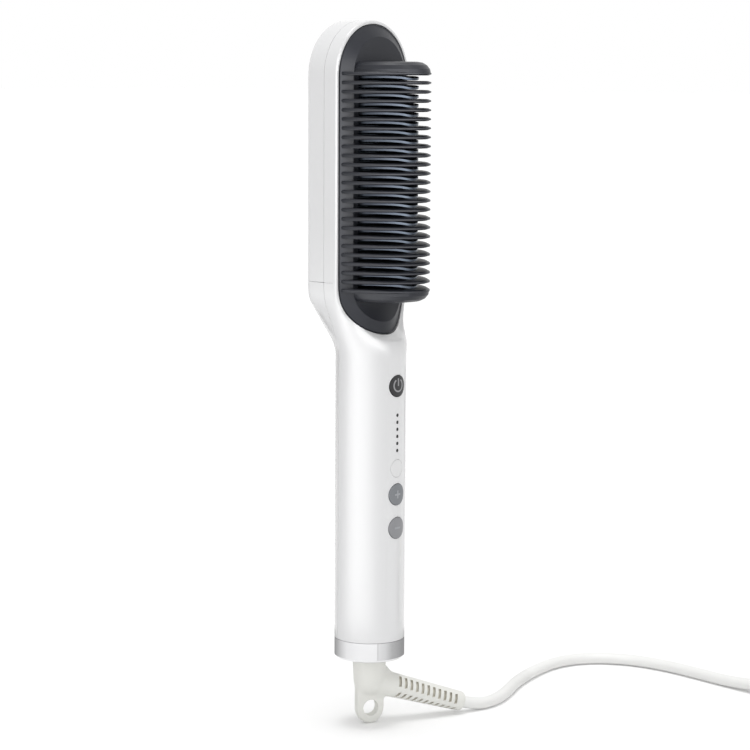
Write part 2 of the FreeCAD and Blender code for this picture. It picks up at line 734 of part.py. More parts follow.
def make_boot():
    """One soft moulding: swivel neck, collar, elbow, hanging lug and slotted strain relief."""
    start, end = relief_frame()
    along = end - start
    length = along.Length
    tilt = math.degrees(math.atan2(-along.z, along.x))
    neck_top = clip_z + clip_t + swivel_top
    neck = Part.makeCylinder(swivel_r, neck_top - elbow_z, Vector(0, 0, elbow_z))
    neck = neck.cut(tube(far, swivel_r - clip_groove, clip_z - fit_gap, clip_z + clip_t + fit_gap))
    collar = Part.makeCone(elbow_r, collar_r, collar_top - elbow_z, Vector(0, 0, elbow_z))
    elbow = Part.makeSphere(elbow_r, Vector(0, 0, elbow_z))
    relief = Part.makeCone(relief_start_r, relief_end_r, length, start, along)
    lug_top = Vector(0, -lug_t / 2, elbow_z)
    side = Vector(lug_side, 0, 0)
    low = Vector(0, -lug_t / 2, 0)
    bottom = low - Vector(0, 0, lug_r)
    shoulder = Vector(min(elbow_r, lug_side) - fit_gap, 0, 0)
    left = lug_top - shoulder
    right = lug_top + shoulder
    lug_wire = Part.Wire([line(left, low - side), arc(low - side, bottom, low + side),
                          line(low + side, right), line(right, left)])
    lug = Part.Face(lug_wire).extrude(Vector(0, lug_t, 0))
    boot = collar.fuse([elbow, relief, lug, neck])
    boot = boot.cut(Part.makeCylinder(hole_r, far, Vector(0, -far / 2, 0), Vector(0, 1, 0)))
    slots = []
    for k in range(slot_count):
        s = slot_first + k * slot_pitch
        radius = relief_start_r + (relief_end_r - relief_start_r) * s / length
        middle = start + along * (s / length)
        inner = radius - slot_depth
        z0 = middle.z - slot_low
        z1 = middle.z + slot_high
        for y0, y1 in ((inner, far), (-far, -inner)):
            slots.append(box(middle.x, middle.x + slot_width, y0, y1, z0, z1))
        under = box(0, slot_width, -far, far, -far, -radius * slot_under)
        under.rotate(Vector(0, 0, 0), Vector(0, 1, 0), tilt)
        under.translate(middle)
        slots.append(under)
    boot = boot.cut(Part.Compound(slots))
    show("cord_boot", turned(boot.removeSplitter()))


def tangent_arc(a, direction, b):
    """Arc from a to b that leaves a in a given direction."""
    chord = b - a
    unit = Vector(chord).normalize()
    across = direction - unit * direction.dot(unit)
    if across.Length < straight:
        return line(a, b)
    half_turn = math.atan2(across.Length, direction.dot(unit))
    sag = chord.Length / 2 * math.tan(half_turn / 2)
    return arc(a, (a + b) * 0.5 + across.normalize() * sag, b)


def swept_cord(name, edges, length):
    path = Part.Wire(edges)
    start = path.Edges[0].valueAt(path.Edges[0].FirstParameter)
    direction = path.Edges[0].tangentAt(path.Edges[0].FirstParameter)
    circle = Part.Wire([Part.makeCircle(cord_r, start, direction)])
    solid = path.makePipeShell([circle], True, False)
    expected = math.pi * cord_r ** 2 * length
    share = solid.Volume / expected
    print(name, "length", round(length, 1), "volume over section x length", round(share, 4))
    show(name, solid)


def smooth(part):
    """Even start and stop between 0 and 1."""
    part = min(1.0, max(0.0, part))
    return part * part * (3 - 2 * part)


def coil_stages():
    """Turns, first and last radius, rise and share of the stage in which it rises, from floor to plug."""
    climb_inside = (turns_climb, coil_in_r, coil_in_r, coil_rise, 1.0)
    climb_outside = (turns_climb, coil_out_r, coil_out_r, coil_rise, 1.0)
    outward = (turns_layer, coil_in_r, coil_out_r, 0.0, 1.0)
    inward = (turns_layer, coil_out_r, coil_in_r, 0.0, 1.0)
    return [(turns_first, coil_first_r, coil_in_r, 0.0, 1.0), climb_inside, outward, climb_outside,
            inward, climb_inside, outward, (turns_climb, coil_out_r, plug_turn_r, plug_rise, plug_climb)]


def coil_point(u):
    """Middle of the coiled cord after u turns."""
    angle = math.radians(coil_entry + 360 * u)
    z = floor_z + coil_lift + cord_r
    for turns, start_r, end_r, rise, share in coil_stages():
        part = u / turns
        if part <= 1:
            break
        u -= turns
        z += rise
    if part > 1:
        radius = end_r
    elif rise:
        radius = start_r + (end_r - start_r) * smooth((part - plug_swing) / (1 - plug_swing))
        z += rise * smooth(part / share)
    else:
        radius = start_r + (end_r - start_r) * part
    return Vector(coil_x + radius * math.cos(angle), coil_y + radius * math.sin(angle), z)


def coil_tangent(u):
    step = 0.001
    return (coil_point(u + step) - coil_point(u - step)).normalize()


def coil_ends():
    """First and last points of the wound tube, with a straight of one cord diameter at each end."""
    total = sum(stage[0] for stage in coil_stages())
    first = coil_point(0) - coil_tangent(0.0) * cord_d
    last_direction = flat(coil_tangent(total))
    return total, first, coil_point(total) + last_direction * cord_d, last_direction


def flat(v):
    return Vector(v.x, v.y, 0).normalize()


def make_coil():
    total, first, last, out = coil_ends()
    steps = int(round(total * arcs_per_turn))
    edges = [line(first, coil_point(0))]
    for k in range(steps):
        u = total * k / steps
        v = total * (k + 1) / steps
        a = coil_point(u)
        b = coil_point(v)
        ta = coil_tangent(u)
        tb = coil_tangent(v)
        if k == steps - 1:
            tb = out
        middle = (a + b + (ta - tb) * biarc_leg(b - a, ta, tb)) * 0.5
        first_arc = tangent_arc(a, ta, middle)
        turn_direction = first_arc.tangentAt(first_arc.LastParameter)
        edges += [first_arc, tangent_arc(middle, turn_direction, b)]
    edges.append(line(coil_point(total), last))
    length = sum(e.Length for e in edges)
    points = Part.Wire(edges).discretize(Number=gap_points)
    apart = 3 * cord_d
    run = [0.0]
    for a, b in zip(points, points[1:]):
        run.append(run[-1] + (b - a).Length)
    gap = min((points[i] - points[j]).Length for i in range(len(points)) for j in range(i)
              if run[i] - run[j] > apart) - cord_d
    print("cord_coil least gap to itself", round(gap, 2))
    swept_cord("cord_coil", edges, length)


def biarc_leg(v, ta, tb):
    """Length of the equal end legs of a biarc over the chord v, between two unit tangents."""
    along = v.dot(ta + tb)
    bend = 2 * (1 - ta.dot(tb))
    return (math.sqrt(along * along + bend * v.dot(v)) - along) / bend


def cord_route():
    """Hand-chosen route of the free cord: out of the boot, on to the floor, round to the coil."""
    start, end = relief_frame()
    heading = Rotation(Vector(0, 0, 1), boot_angle)
    total, first, last, out = coil_ends()
    # The cord runs straight on from the boot until it touches the floor.
    touch = end + (end - start) * ((cord_z - end.z) / (end.z - start.z))
    on_floor = [(55.7, -24.8), (69.2, -21.2), (87.5, -13.2), (110.8, -7.4), (130.0, -6.5),
                (145.0, -14.0), (154.5, -29.0), (157.0, -48.0), (155.0, -67.0), (152.2, -85.8)]
    points = [heading.multVec(end), heading.multVec(touch)] + [Vector(x, y, cord_z) for x, y in on_floor]
    return points + [first - coil_tangent(0.0) * coil_run_in, first]


def make_cord():
    points = cord_route()
    edges = []
    here = points[0]
    radii = []
    for a, b, c in zip(points, points[1:], points[2:]):
        back = a - b
        ahead = c - b
        turn = math.pi - back.getAngle(ahead)
        leg = bend_share * min(back.Length, ahead.Length)
        radii.append(round(leg / math.tan(turn / 2), 1))
        enter = b + back.normalize() * leg
        leave = b + ahead.normalize() * leg
        edges.append(line(here, enter))
        edges.append(tangent_arc(enter, (b - enter).normalize(), leave))
        here = leave
    edges.append(line(here, points[-1]))
    print("power_cord radii", radii)
    swept_cord("power_cord", edges, sum(e.Length for e in edges))


def make_tie():
    """Strap round all the layers of the coil."""
    sag = coil_in_r - math.sqrt(coil_in_r ** 2 - (tie_width / 2) ** 2)
    r0 = coil_in_r - cord_r - sag - tie_gap
    r1 = max(coil_out_r, coil_first_r - tie_turn * coil_step) + cord_r + tie_gap
    climbs = sum(1 for stage in coil_stages() if stage[3]) - 1
    z0 = floor_z + coil_lift - tie_gap
    z1 = floor_z + coil_lift + cord_d + climbs * coil_rise + tie_gap
    half = tie_width / 2
    strap = box(r0 - tie_t, r1 + tie_t, -half, half, z0 - tie_t, z1 + tie_t)
    strap = strap.cut(box(r0, r1, -half, half, z0, z1))
    strap.rotate(Vector(0, 0, 0), Vector(0, 0, 1), coil_entry + 360 * tie_turn)
    strap.translate(Vector(coil_x, coil_y, 0))
    show("cord_tie", strap)


def plug_blade(front, out, side, grow):
    """One flat blade, from its foot inside the plug. Grown by a clearance it is the blade's socket."""
    thick = blade_t / 2 + grow
    half = blade_width / 2 + grow
    blade = box(-blade_sink - grow, blade_length, -thick, thick, -half, half)
    blade.rotate(Vector(0, 0, 0), Vector(0, 0, 1), math.degrees(math.atan2(out.y, out.x)))
    blade.translate(front + Vector(-out.y, out.x, 0) * (side * blade_spacing / 2))
    return blade


def make_plug():
    """Moulded plug with a tapered grip and two flat blades, and the last stretch of cord into it."""
    total, first, last, out = coil_ends()
    neck = last + out * tail_length
    show("plug_cord", Part.makeCylinder(cord_r, tail_length, last, out))
    grip = Part.makeCone(plug_neck_r, plug_r, plug_taper, neck, out)
    body = Part.makeCylinder(plug_r, plug_length - plug_taper, neck + out * plug_taper, out)
    body = body.fuse(grip).removeSplitter()
    front = neck + out * plug_length
    body = round_rim(body, front, out, plug_round)
    sides = (-1, 1)
    sockets = [plug_blade(front, out, side, fit_gap) for side in sides]
    blades = [plug_blade(front, out, side, 0.0) for side in sides]
    show("plug_body", body.cut(Part.Compound(sockets)))
    show("plug_blades", Part.Compound(blades))


make_housings()
make_guard()
make_heating_comb()
make_heater_stack()
make_controls()
make_lower_end()
make_boot()
make_cord()
make_coil()
make_tie()
make_plug()
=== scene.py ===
import math
import bmesh
import bpy
import numpy as np
from mathutils import Matrix, Vector
from mathutils.kdtree import KDTree


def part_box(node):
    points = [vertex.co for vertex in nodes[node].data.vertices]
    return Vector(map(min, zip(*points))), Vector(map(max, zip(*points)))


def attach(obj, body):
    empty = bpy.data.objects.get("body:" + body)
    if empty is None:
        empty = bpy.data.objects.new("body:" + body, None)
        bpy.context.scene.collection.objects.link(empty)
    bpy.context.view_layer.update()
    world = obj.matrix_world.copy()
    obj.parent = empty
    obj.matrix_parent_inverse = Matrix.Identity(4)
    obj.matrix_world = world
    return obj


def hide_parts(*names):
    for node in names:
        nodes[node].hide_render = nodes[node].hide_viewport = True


# Corded hair straightening brush, upright on the lug of its cord boot. Metres, in the frame of the model.
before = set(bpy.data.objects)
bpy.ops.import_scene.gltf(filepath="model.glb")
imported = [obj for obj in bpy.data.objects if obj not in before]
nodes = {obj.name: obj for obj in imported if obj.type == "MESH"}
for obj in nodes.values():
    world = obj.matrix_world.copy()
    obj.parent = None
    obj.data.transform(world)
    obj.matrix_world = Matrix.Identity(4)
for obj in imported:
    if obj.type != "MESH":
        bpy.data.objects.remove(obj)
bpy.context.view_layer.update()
scene = bpy.context.scene
scene.view_settings.view_transform = "Standard"

mm = 0.001
floor_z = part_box("cord_boot")[0].z

# Camera: the photograph's own view, in pixels of its frame, metres and degrees
image_side = 750
focal_px = 2267.0
principal_x = 370.6
camera_range = 0.9504
camera_height = 0.2704
camera_yaw = math.radians(49.314)
camera_pitch = math.radians(7.564)
camera_roll = math.radians(0.262)
sensor = 36.0

# Stage: floor, lamps and reflected cards; card tones go by degrees to the right of the camera
towards_camera = math.pi * 1.5 - camera_yaw
floor_half = 30.0
floor_tone = 0.86
floor_glow = 0.14
world_light = 0.6
top_light = 1.4
top_angle = math.radians(28)
top_z = 2.0
fill_turn = 8.0
fill_range = 1.6
fill_height = 0.6
fill_size = (1.2, 1.2)
fill_power = 5.0
fill_aim_z = 0.14
card_steps = 96
card_split = 0.011
card_fade = (0.14, 0.21)
ring_card_r = 0.1
ring_tones = [(-180, 0.30), (-140, 0.40), (-122, 0.52), (-74, 0.96), (-30, 1.06), (23, 1.06), (26, 0.62),
              (28, 0.90), (50, 0.80), (74, 0.54), (124, 0.38), (180, 0.30)]
gloss_card_r = 0.115
gloss_tones = [(-150, 0.8), (-110, 0.9), (-89, 1.5), (-60, 3.4), (-47, 4.0), (-25, 3.7), (-11, 3.2),
               (23, 1.4), (55, 0.9)]
head_card_r = 0.118
head_card_top = 0.33
head_tones = [(-45, 1.0), (-10, 5.0), (45, 5.0), (75, 1.0)]

# Cord: exit from the boot, free run on the floor in millimetres, layers of the coil, tail into the plug
cord_d = 5.2 * mm
cord_rest_z = floor_z + cord_d / 2
cord_exit = (39.2 * mm, -19.98 * mm, -2.3 * mm)
cord_floor_run = [(45.9, -23.4), (55.7, -24.8), (69.2, -21.2), (87.5, -13.2), (110.8, -7.4), (130.0, -6.5),
                  (145.0, -14.0), (154.5, -29.0), (157.0, -48.0), (155.0, -67.0), (152.2, -85.8)]
coil_centre = (186.0 * mm, -126.0 * mm)
coil_entry = math.radians(180.0)
coil_run_in = 18.0 * mm
coil_in_r = 20.0 * mm
coil_step = 6.6 * mm
coil_rise = 6.0 * mm
coil_lift = 1.4 * mm
turns_first = 2.22
turns_layer = 1.75
turns_climb = 0.5
turn_points = 16
plug_turn_r = 18.0 * mm
plug_rise = 11.4 * mm
plug_climb = 0.6
plug_swing = 0.3
tail_length = 6.0 * mm
coil_out_r = coil_in_r + turns_layer * coil_step
coil_first_r = coil_in_r + turns_first * coil_step

# Cord boot: the photographed elbow, lug and slotted relief, in millimetres, with x along the relief
boot_turn = math.radians(-27.0)
ring_points = 40
collar_top = 23.6
collar_r = 7.3
elbow_r = 6.8
elbow_z = 12.1
relief_reach = 44.0
relief_end_z = -2.3
relief_start_r = 5.75
relief_end_r = 4.3
relief_root = Vector((0, 0, elbow_z))
relief_run = Vector((relief_reach, 0, relief_end_z)) - relief_root
# Rounded tip of the relief: distance before its end, and how much thinner it is there
relief_tip = [(1.0, 0.0), (0.3, 0.3), (0.0, 1.0)]
# Rounded corner between collar and relief: distance past the elbow's radius, and share of the fillet there
fillet_r = 2.0
fillet_flat = 0.8
fillet_steps = [(-3.0, 1.0), (-0.6, 1.0), (0.0, 0.72), (0.7, 0.46), (1.5, 0.25), (2.5, 0.09), (3.6, 0.0)]
lug_drop = 7.0
lug_side = 6.2
lug_t = 4.2
lug_inset = 0.7
lug_overlap = 1.0
lug_points = 32
hole_r = 3.5
hole_points = 48
stem_r = 4.85
stem_top = 28.84
stem_root = 4.0
stem_chamfer = 0.4
groove_z = (25.64, 26.64)
groove_depth = 0.9
# Slots on the side and under it: angles of the first and of the last one, in degrees
slot_count = 11
slot_first = 12.9
slot_pitch = 2.79
slot_width = 1.3
slot_depth = 1.4
slot_past = 2.5
slot_steps = 8
side_slot = ((8.0, 62.0), (-14.0, 42.0))
side_skew = 1.0
under_slot = ((-52.0, -22.0), (-70.0, -42.0))
under_skew = 1.7
under_shift = -1.2
boot_voxel = 0.5
boot_rounds = 16
boot_sliver = 0.02
boot_sharp = math.radians(40)

# Neck between head and handle: heights where the blend begins and ends, its reach, and what it leaves alone
neck_low = (0.146, 0.154)
neck_high = (0.171, 0.1805)
neck_fine = (0.134, 0.192)
neck_weld = 0.001 * mm
neck_edge = 2.0 * mm
neck_halvings = 8
neck_turn_reach = 4.0 * mm
neck_move_reach = 3.0 * mm
neck_free = 4.0 * mm
neck_hold_area = 0.002 * mm * mm
handle_r = 15.0 * mm
seam_y = 6.0 * mm
seam_near = 0.5 * mm
skin_rise = 0.2
skin_out = 0.2
skin_front = 0.3
bell_reach = 4
bell_batch = 100

# Strap round the coil
tie_turn = 0.875
tie_width = 10.0 * mm
tie_t = 0.8 * mm
tie_gap = 0.2 * mm
tie_edge = tie_t / 4
tie_samples = 720
tie_round_points = 32
tie_sharp = math.radians(50)

# Signs on the buttons, in millimetres
button_face_r = 15.35
sign_proud = 0.1
sign_sink = 0.1
sign_step = 0.25
power_sign_r = 2.9
power_sign_stroke = 0.62
power_sign_gap = math.radians(32)
power_sign_rise = 0.35
power_sign_foot = 0.1 * power_sign_r
power_sign_steps = 40
level_sign_half = 1.7
level_sign_stroke = 0.75

# Middle range of a noise, where a material's tones and gloss change
noise_low = 0.3
noise_high = 0.7


# Tools

def put(name, data):
    """New object in the scene."""
    piece = bpy.data.objects.new(name, data)
    scene.collection.objects.link(piece)
    return piece


def link(name, data, body, slot, *replaced):
    """Put a finished piece into the scene on its body."""
    piece = put(name, data)
    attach(piece, body)
    if replaced:
        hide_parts(*replaced)
    return piece


def smooth(part):
    """Even start and stop between 0 and 1."""
    part = min(1.0, max(0.0, part))
    return part * part * (3 - 2 * part)


def mesh_from(name, bm):
    """Mesh with its faces turned outwards; the bmesh goes."""
    bmesh.ops.recalc_face_normals(bm, faces=bm.faces)
    mesh = bpy.data.meshes.new(name)
    bm.to_mesh(mesh)
    bm.free()
    return mesh


def loft(bm, rings, closed=False):
    """Skin over rings of points, with flat ends unless the last ring joins the first."""
    loops = [[bm.verts.new(p) for p in ring] for ring in rings]
    count = len(loops[0])
    pairs = list(zip(loops, loops[1:])) + ([(loops[-1], loops[0])] if closed else [])
    for low, high in pairs:
        for i in range(count):
            j = (i + 1) % count
            bm.faces.new((low[i], low[j], high[j], high[i]))
    if not closed:
        bm.faces.new(loops[0][::-1])
        bm.faces.new(loops[-1])


def turned_rings(profile, start, along, count=ring_points):
    """Rings of a turned shape: profile gives (distance along the axis, radius)."""
    axis = along.normalized()
    side = Vector((0, 1, 0)) if abs(axis.y) < 0.9 else Vector((1, 0, 0))
    up = axis.cross(side).normalized()
    rings = []
    for distance, radius in profile:
        middle = start + axis * distance
        angles = [math.tau * i / count for i in range(count)]
        rings.append([middle + (side * math.cos(a) + up * math.sin(a)) * radius for a in angles])
    return rings


def evaluated(piece):
    """Mesh of an object with its modifiers applied; the object goes."""
    depsgraph = bpy.context.evaluated_depsgraph_get()
    mesh = bpy.data.meshes.new_from_object(piece.evaluated_get(depsgraph))
    bpy.data.objects.remove(piece)
    return mesh


def boolean(mesh, other, operation, materials="INDEX"):
    """Mesh joined with another or cut by it."""
    piece = put("boolean_body", mesh)
    tool = put("boolean_tool", other)
    modifier = piece.modifiers.new("boolean", "BOOLEAN")
    modifier.operation = operation
    modifier.solver = "EXACT"
    modifier.material_mode = materials
    modifier.object = tool
    result = evaluated(piece)
    bpy.data.objects.remove(tool)
    return result


# Camera

def make_camera():
    """Camera at the photograph's viewpoint."""
    forward = Vector((math.sin(camera_yaw) * math.cos(camera_pitch),
                      math.cos(camera_yaw) * math.cos(camera_pitch), -math.sin(camera_pitch)))
    right = Vector((math.cos(camera_yaw), -math.sin(camera_yaw), 0))
    up = right.cross(forward)
    side = right * math.cos(camera_roll) + up * math.sin(camera_roll)
    top = up * math.cos(camera_roll) - right * math.sin(camera_roll)
    place = Vector((-camera_range * math.sin(camera_yaw), -camera_range * math.cos(camera_yaw),
                    camera_height))
    data = bpy.data.cameras.new("camera")
    data.sensor_width = sensor
    data.lens = focal_px / image_side * sensor
    data.shift_x = (image_side / 2 - principal_x) / image_side
    camera = put("camera", data)
    camera.matrix_world = Matrix.Translation(place) @ Matrix((side, top, -forward)).transposed().to_4x4()
    scene.camera = camera


# Cord

def coil_stages():
    """Turns, first and last radius, rise and share of the stage in which it rises, from floor to plug."""
    climb_inside = (turns_climb, coil_in_r, coil_in_r, coil_rise, 1.0)
    climb_outside = (turns_climb, coil_out_r, coil_out_r, coil_rise, 1.0)
    outward = (turns_layer, coil_in_r, coil_out_r, 0.0, 1.0)
    inward = (turns_layer, coil_out_r, coil_in_r, 0.0, 1.0)
    return [(turns_first, coil_first_r, coil_in_r, 0.0, 1.0), climb_inside, outward, climb_outside,
            inward, climb_inside, outward, (turns_climb, coil_out_r, plug_turn_r, plug_rise, plug_climb)]


def coil_point(u, grow=1.0):
    """Middle of the coiled cord after u turns; control points lie a little further out."""
    angle = coil_entry + math.tau * u
    z = floor_z + coil_lift + cord_d / 2
    for turns, start_r, end_r, rise, share in coil_stages():
        part = u / turns
        if part <= 1:
            break
        u -= turns
        z += rise
    if part > 1:
        radius = end_r
    elif rise:
        radius = start_r + (end_r - start_r) * smooth((part - plug_swing) / (1 - plug_swing))
        z += rise * smooth(part / share)
    else:
        radius = start_r + (end_r - start_r) * part
    radius *= grow
    return Vector((coil_centre[0] + radius * math.cos(angle), coil_centre[1] + radius * math.sin(angle), z))


def coil_direction(u):
    """Direction of the coiled cord after u turns."""
    step = 0.001
    return (coil_point(u + step) - coil_point(u - step)).normalized()


def cord_points():
    """Control points of the whole cord: free run on the floor, coil, tail into the plug."""
    total = sum(stage[0] for stage in coil_stages())
    first = coil_point(0) - coil_direction(0) * cord_d
    leave = coil_direction(total)
    leave = Vector((leave.x, leave.y, 0)).normalized()
    last = coil_point(total) + leave * cord_d
    grow = 1 / math.cos(math.pi / turn_points)
    points = [Vector(cord_exit)] + [Vector((x * mm, y * mm, cord_rest_z)) for x, y in cord_floor_run]
    points += [first - coil_direction(0) * coil_run_in, first]
    count = int(total * turn_points)
    points += [coil_point(total * i / count, grow) for i in range(1, count)]
    points += [coil_point(total), last, last + leave * tail_length]
    return points


def make_cord():
    """Cord as one curve, from the boot to the plug."""
    points = cord_points()
    curve = bpy.data.curves.new("power_lead", "CURVE")
    curve.dimensions = "3D"
    curve.bevel_depth = 1.0
    curve.bevel_resolution = 5
    curve.use_fill_caps = True
    curve.resolution_u = 6
    spline = curve.splines.new("NURBS")
    spline.points.add(len(points) - 1)
    for place, point in zip(spline.points, points):
        place.co = (*point, 1.0)
        place.radius = cord_d / 2
    spline.order_u = 3
    spline.use_endpoint_u = True
    return link("power_lead", curve, "cord_swivel", "cord_jacket", "power_cord", "cord_coil", "plug_cord")


# Cord boot

def fillet_rings():
    """Flattened flare that rounds the corner between collar and relief, above and below."""
    way = relief_run.normalized()
    over = way.cross(Vector((0, 1, 0)))
    angles = [math.tau * i / ring_points for i in range(ring_points)]
    rings = []
    for past, share in fillet_steps:
        s = elbow_r + past
        r = relief_start_r + (relief_end_r - relief_start_r) * s / relief_run.length
        middle = relief_root + way * s
        rings.append([middle + over * (r + share * fillet_r) * math.cos(a)
                      + Vector((0, fillet_flat * r * math.sin(a), 0)) for a in angles])
    return rings


def lug_outline():
    """Rounded lug seen from the side, up into the elbow."""
    arc = [math.radians(180 + 180 * i / lug_points) for i in range(lug_points + 1)]
    outline = [(lug_side * math.cos(a), lug_drop * math.sin(a)) for a in arc]
    top = elbow_z - lug_overlap
    return outline + [(elbow_r - lug_inset, top), (lug_inset - elbow_r, top)]


def boot_body():
    """Collar, elbow, relief and lug melted into one soft form."""
    bm = bmesh.new()
    down = [(elbow_r * math.sin(a), elbow_r * math.cos(a))
            for a in (math.radians(d) for d in range(0, 90, 10))]
    collar = [(0, collar_r), (collar_top - elbow_z, elbow_r)]
    collar += [(collar_top - elbow_z + s, r) for s, r in down[1:]]
    loft(bm, turned_rings(collar, Vector((0, 0, collar_top)), Vector((0, 0, -1))))
    relief = [(0, relief_start_r)]
    relief += [(relief_run.length - before, relief_end_r - thinner) for before, thinner in relief_tip]
    loft(bm, turned_rings(relief, relief_root, relief_run))
    loft(bm, fillet_rings())
    loft(bm, [[Vector((x, y, z)) for x, z in lug_outline()] for y in (-lug_t / 2, lug_t / 2)])
    body = put("boot_form", mesh_from("boot_form", bm))
    remesh = body.modifiers.new("remesh", "REMESH")
    remesh.mode = "VOXEL"
    remesh.voxel_size = boot_voxel
    soften = body.modifiers.new("soften", "SMOOTH")
    soften.factor = 0.5
    soften.iterations = boot_rounds
    return evaluated(body)


def boot_stem():
    """Grooved stem that turns in the end of the handle."""
    bm = bmesh.new()
    start = collar_top - stem_root
    low, high, top = (z - start for z in (*groove_z, stem_top))
    inner = stem_r - groove_depth
    profile = [(0, stem_r), (low, stem_r), (low, inner), (high, inner), (high, stem_r),
               (top - stem_chamfer, stem_r), (top, stem_r - stem_chamfer)]
    loft(bm, turned_rings(profile, Vector((0, 0, start)), Vector((0, 0, 1))))
    return mesh_from("boot_stem", bm)


def slot_cutter(bm, place, radius, span, side, skew):
    """Curved key round one side of the relief, from one angle to another."""
    low, high = radius - slot_depth, radius + slot_past
    rings = []
    for i in range(slot_steps + 1):
        part = i / slot_steps
        angle = math.radians(span[0] + (span[1] - span[0]) * part)
        shift = skew * (part - 0.5)
        section = ((0, low), (slot_width, low), (slot_width, high), (0, high))
        rings.append([place + Vector((x + shift, side * r * math.cos(angle), r * math.sin(angle)))
                      for x, r in section])
    loft(bm, rings)


def slot_span(spans, k):
    """Angles of slot k, between those of the first and the last one."""
    share = k / (slot_count - 1)
    return [a + (b - a) * share for a, b in zip(*spans)]


def slot_cutters():
    """All the slots, on both sides of the relief."""
    bm = bmesh.new()
    for k in range(slot_count):
        part = (slot_first + k * slot_pitch) / relief_run.length
        radius = relief_start_r + (relief_end_r - relief_start_r) * part
        place = relief_root + relief_run * part
        below = place + Vector((under_shift, 0, 0))
        for side in (-1, 1):
            slot_cutter(bm, place, radius, slot_span(side_slot, k), side, side_skew)
            slot_cutter(bm, below, radius, slot_span(under_slot, k), side, under_skew)
    return mesh_from("slot_cutters", bm)


def hole_cutter():
    """Bar through the lug, for its hanging hole."""
    bm = bmesh.new()
    depth = Vector((0, 3 * lug_t, 0))
    loft(bm, turned_rings([(0, hole_r), (depth.length, hole_r)], depth * -0.5, depth, hole_points))
    return mesh_from("hole_cutter", bm)


def in_triangles(mesh):
    """Turn a cut mesh into triangles, and close up edges on which more than two of them meet."""
    bm = bmesh.new()
    bm.from_mesh(mesh)
    bmesh.ops.dissolve_degenerate(bm, dist=boot_sliver, edges=bm.edges[:])
    bmesh.ops.triangulate(bm, faces=bm.faces[:], ngon_method="BEAUTY")
    crowded = [e for e in bm.edges if len(e.link_faces) > 2]
    bmesh.ops.collapse(bm, edges=crowded)
    bmesh.ops.delete(bm, geom=[e for e in bm.edges if not e.link_faces], context="EDGES")
    bm.to_mesh(mesh)
    bm.free()


def make_boot(finish):
    """Soft boot with its hole, and slots whose walls are painted darker as shade in their recesses."""
    body = boot_body()
    body.materials.append(finish["rubber"])
    mesh = boolean(body, boot_stem(), "UNION")
    mesh = boolean(mesh, hole_cutter(), "DIFFERENCE")
    # Slot walls take the finish painted darker as the shade in the slots
    slots = slot_cutters()
    slots.materials.append(finish["slot"])
    mesh = boolean(mesh, slots, "DIFFERENCE", "TRANSFER")
    in_triangles(mesh)
    mesh.transform(Matrix.Rotation(boot_turn, 4, "Z") @ Matrix.Scale(mm, 4))
    mesh.shade_smooth()
    mesh.set_sharp_from_angle(angle=boot_sharp)
    return link("soft_boot", mesh, "cord_swivel", "boot_rubber", "cord_boot")


# Neck of the housings

def on_skin(face):
    """Whether a face lies on the outside of a housing: round or flared side, or the forward sweep."""
    middle = face.calc_center_median()
    out = Vector((middle.x, middle.y, 0)).normalized()
    side = face.normal.z < skin_rise and face.normal.dot(out) > skin_out
    return side or (face.normal.y < -skin_front and middle.y < 0)


def neck_share(z):
    """How much of the blend applies at a height."""
    low = smooth((z - neck_low[0]) / (neck_low[1] - neck_low[0]))
    high = smooth((neck_high[1] - z) / (neck_high[1] - neck_high[0]))
    return low * high


def fine_skin(bm):
    """Skin faces on the neck and a little past it."""
    return [f for f in bm.faces if neck_fine[0] < f.calc_center_median().z < neck_fine[1] and on_skin(f)]


def halve(edge):
    """Put a point in the middle of an edge and join it to the far corners of the edge's triangles."""
    corners = {f: next(v for v in f.verts if v not in edge.verts) for f in edge.link_faces}
    middle = bmesh.utils.edge_split(edge, edge.verts[0], 0.5)[1]
    for face, corner in corners.items():
        bmesh.utils.face_split(face, middle, corner)


def fine_copy(node):
    """Copy of a housing, with small faces on the neck and the given normals kept in a layer."""
    mesh = nodes[node].data.copy()
    mesh.name = "smooth_" + node
    given = [c for n in mesh.corner_normals for c in n.vector]
    mesh.attributes.new("given", "FLOAT_VECTOR", "CORNER").data.foreach_set("vector", given)
    bm = bmesh.new()
    bm.from_mesh(mesh)
    bmesh.ops.remove_doubles(bm, verts=bm.verts, dist=neck_weld)
    for step in range(neck_halvings):
        edges = {e for f in fine_skin(bm) for e in f.edges if e.calc_length() > neck_edge}
        if not edges:
            break
        for edge in sorted(edges, key=lambda e: (-round(e.calc_length(), 7), e.index)):
            halve(edge)
        bm.edges.index_update()
    bm.verts.index_update()
    bm.normal_update()
    return mesh, bm


def neck_samples(copies):
    """Middle, area and given normal of each small skin face on the neck, over both housings."""
    rows = []
    for mesh, bm in copies:
        given = bm.loops.layers.float_vector["given"]
        for f in fine_skin(bm):
            turn = sum((loop[given] for loop in f.loops), Vector()).normalized()
            rows.append((*f.calc_center_median(), f.calc_area(), *turn))
    rows = np.array(rows)
    return rows[:, :3], rows[:, 3], rows[:, 4:]


def local_mean(points, places, areas, values, width):
    """Mean of the values near each point, by area and with a bell-shaped reach."""
    means = np.zeros_like(points)
    for some in np.array_split(np.argsort(points[:, 2]), 1 + len(points) // bell_batch):
        low = points[some, 2].min() - bell_reach * width
        high = points[some, 2].max() + bell_reach * width
        near = (places[:, 2] > low) & (places[:, 2] < high)
        apart = ((points[some][:, None, :] - places[near][None]) ** 2).sum(axis=2)
        weight = areas[near] * np.exp(-apart / (2 * width * width))
        means[some] = weight @ values[near] / weight.sum(axis=1, keepdims=True)
    return means


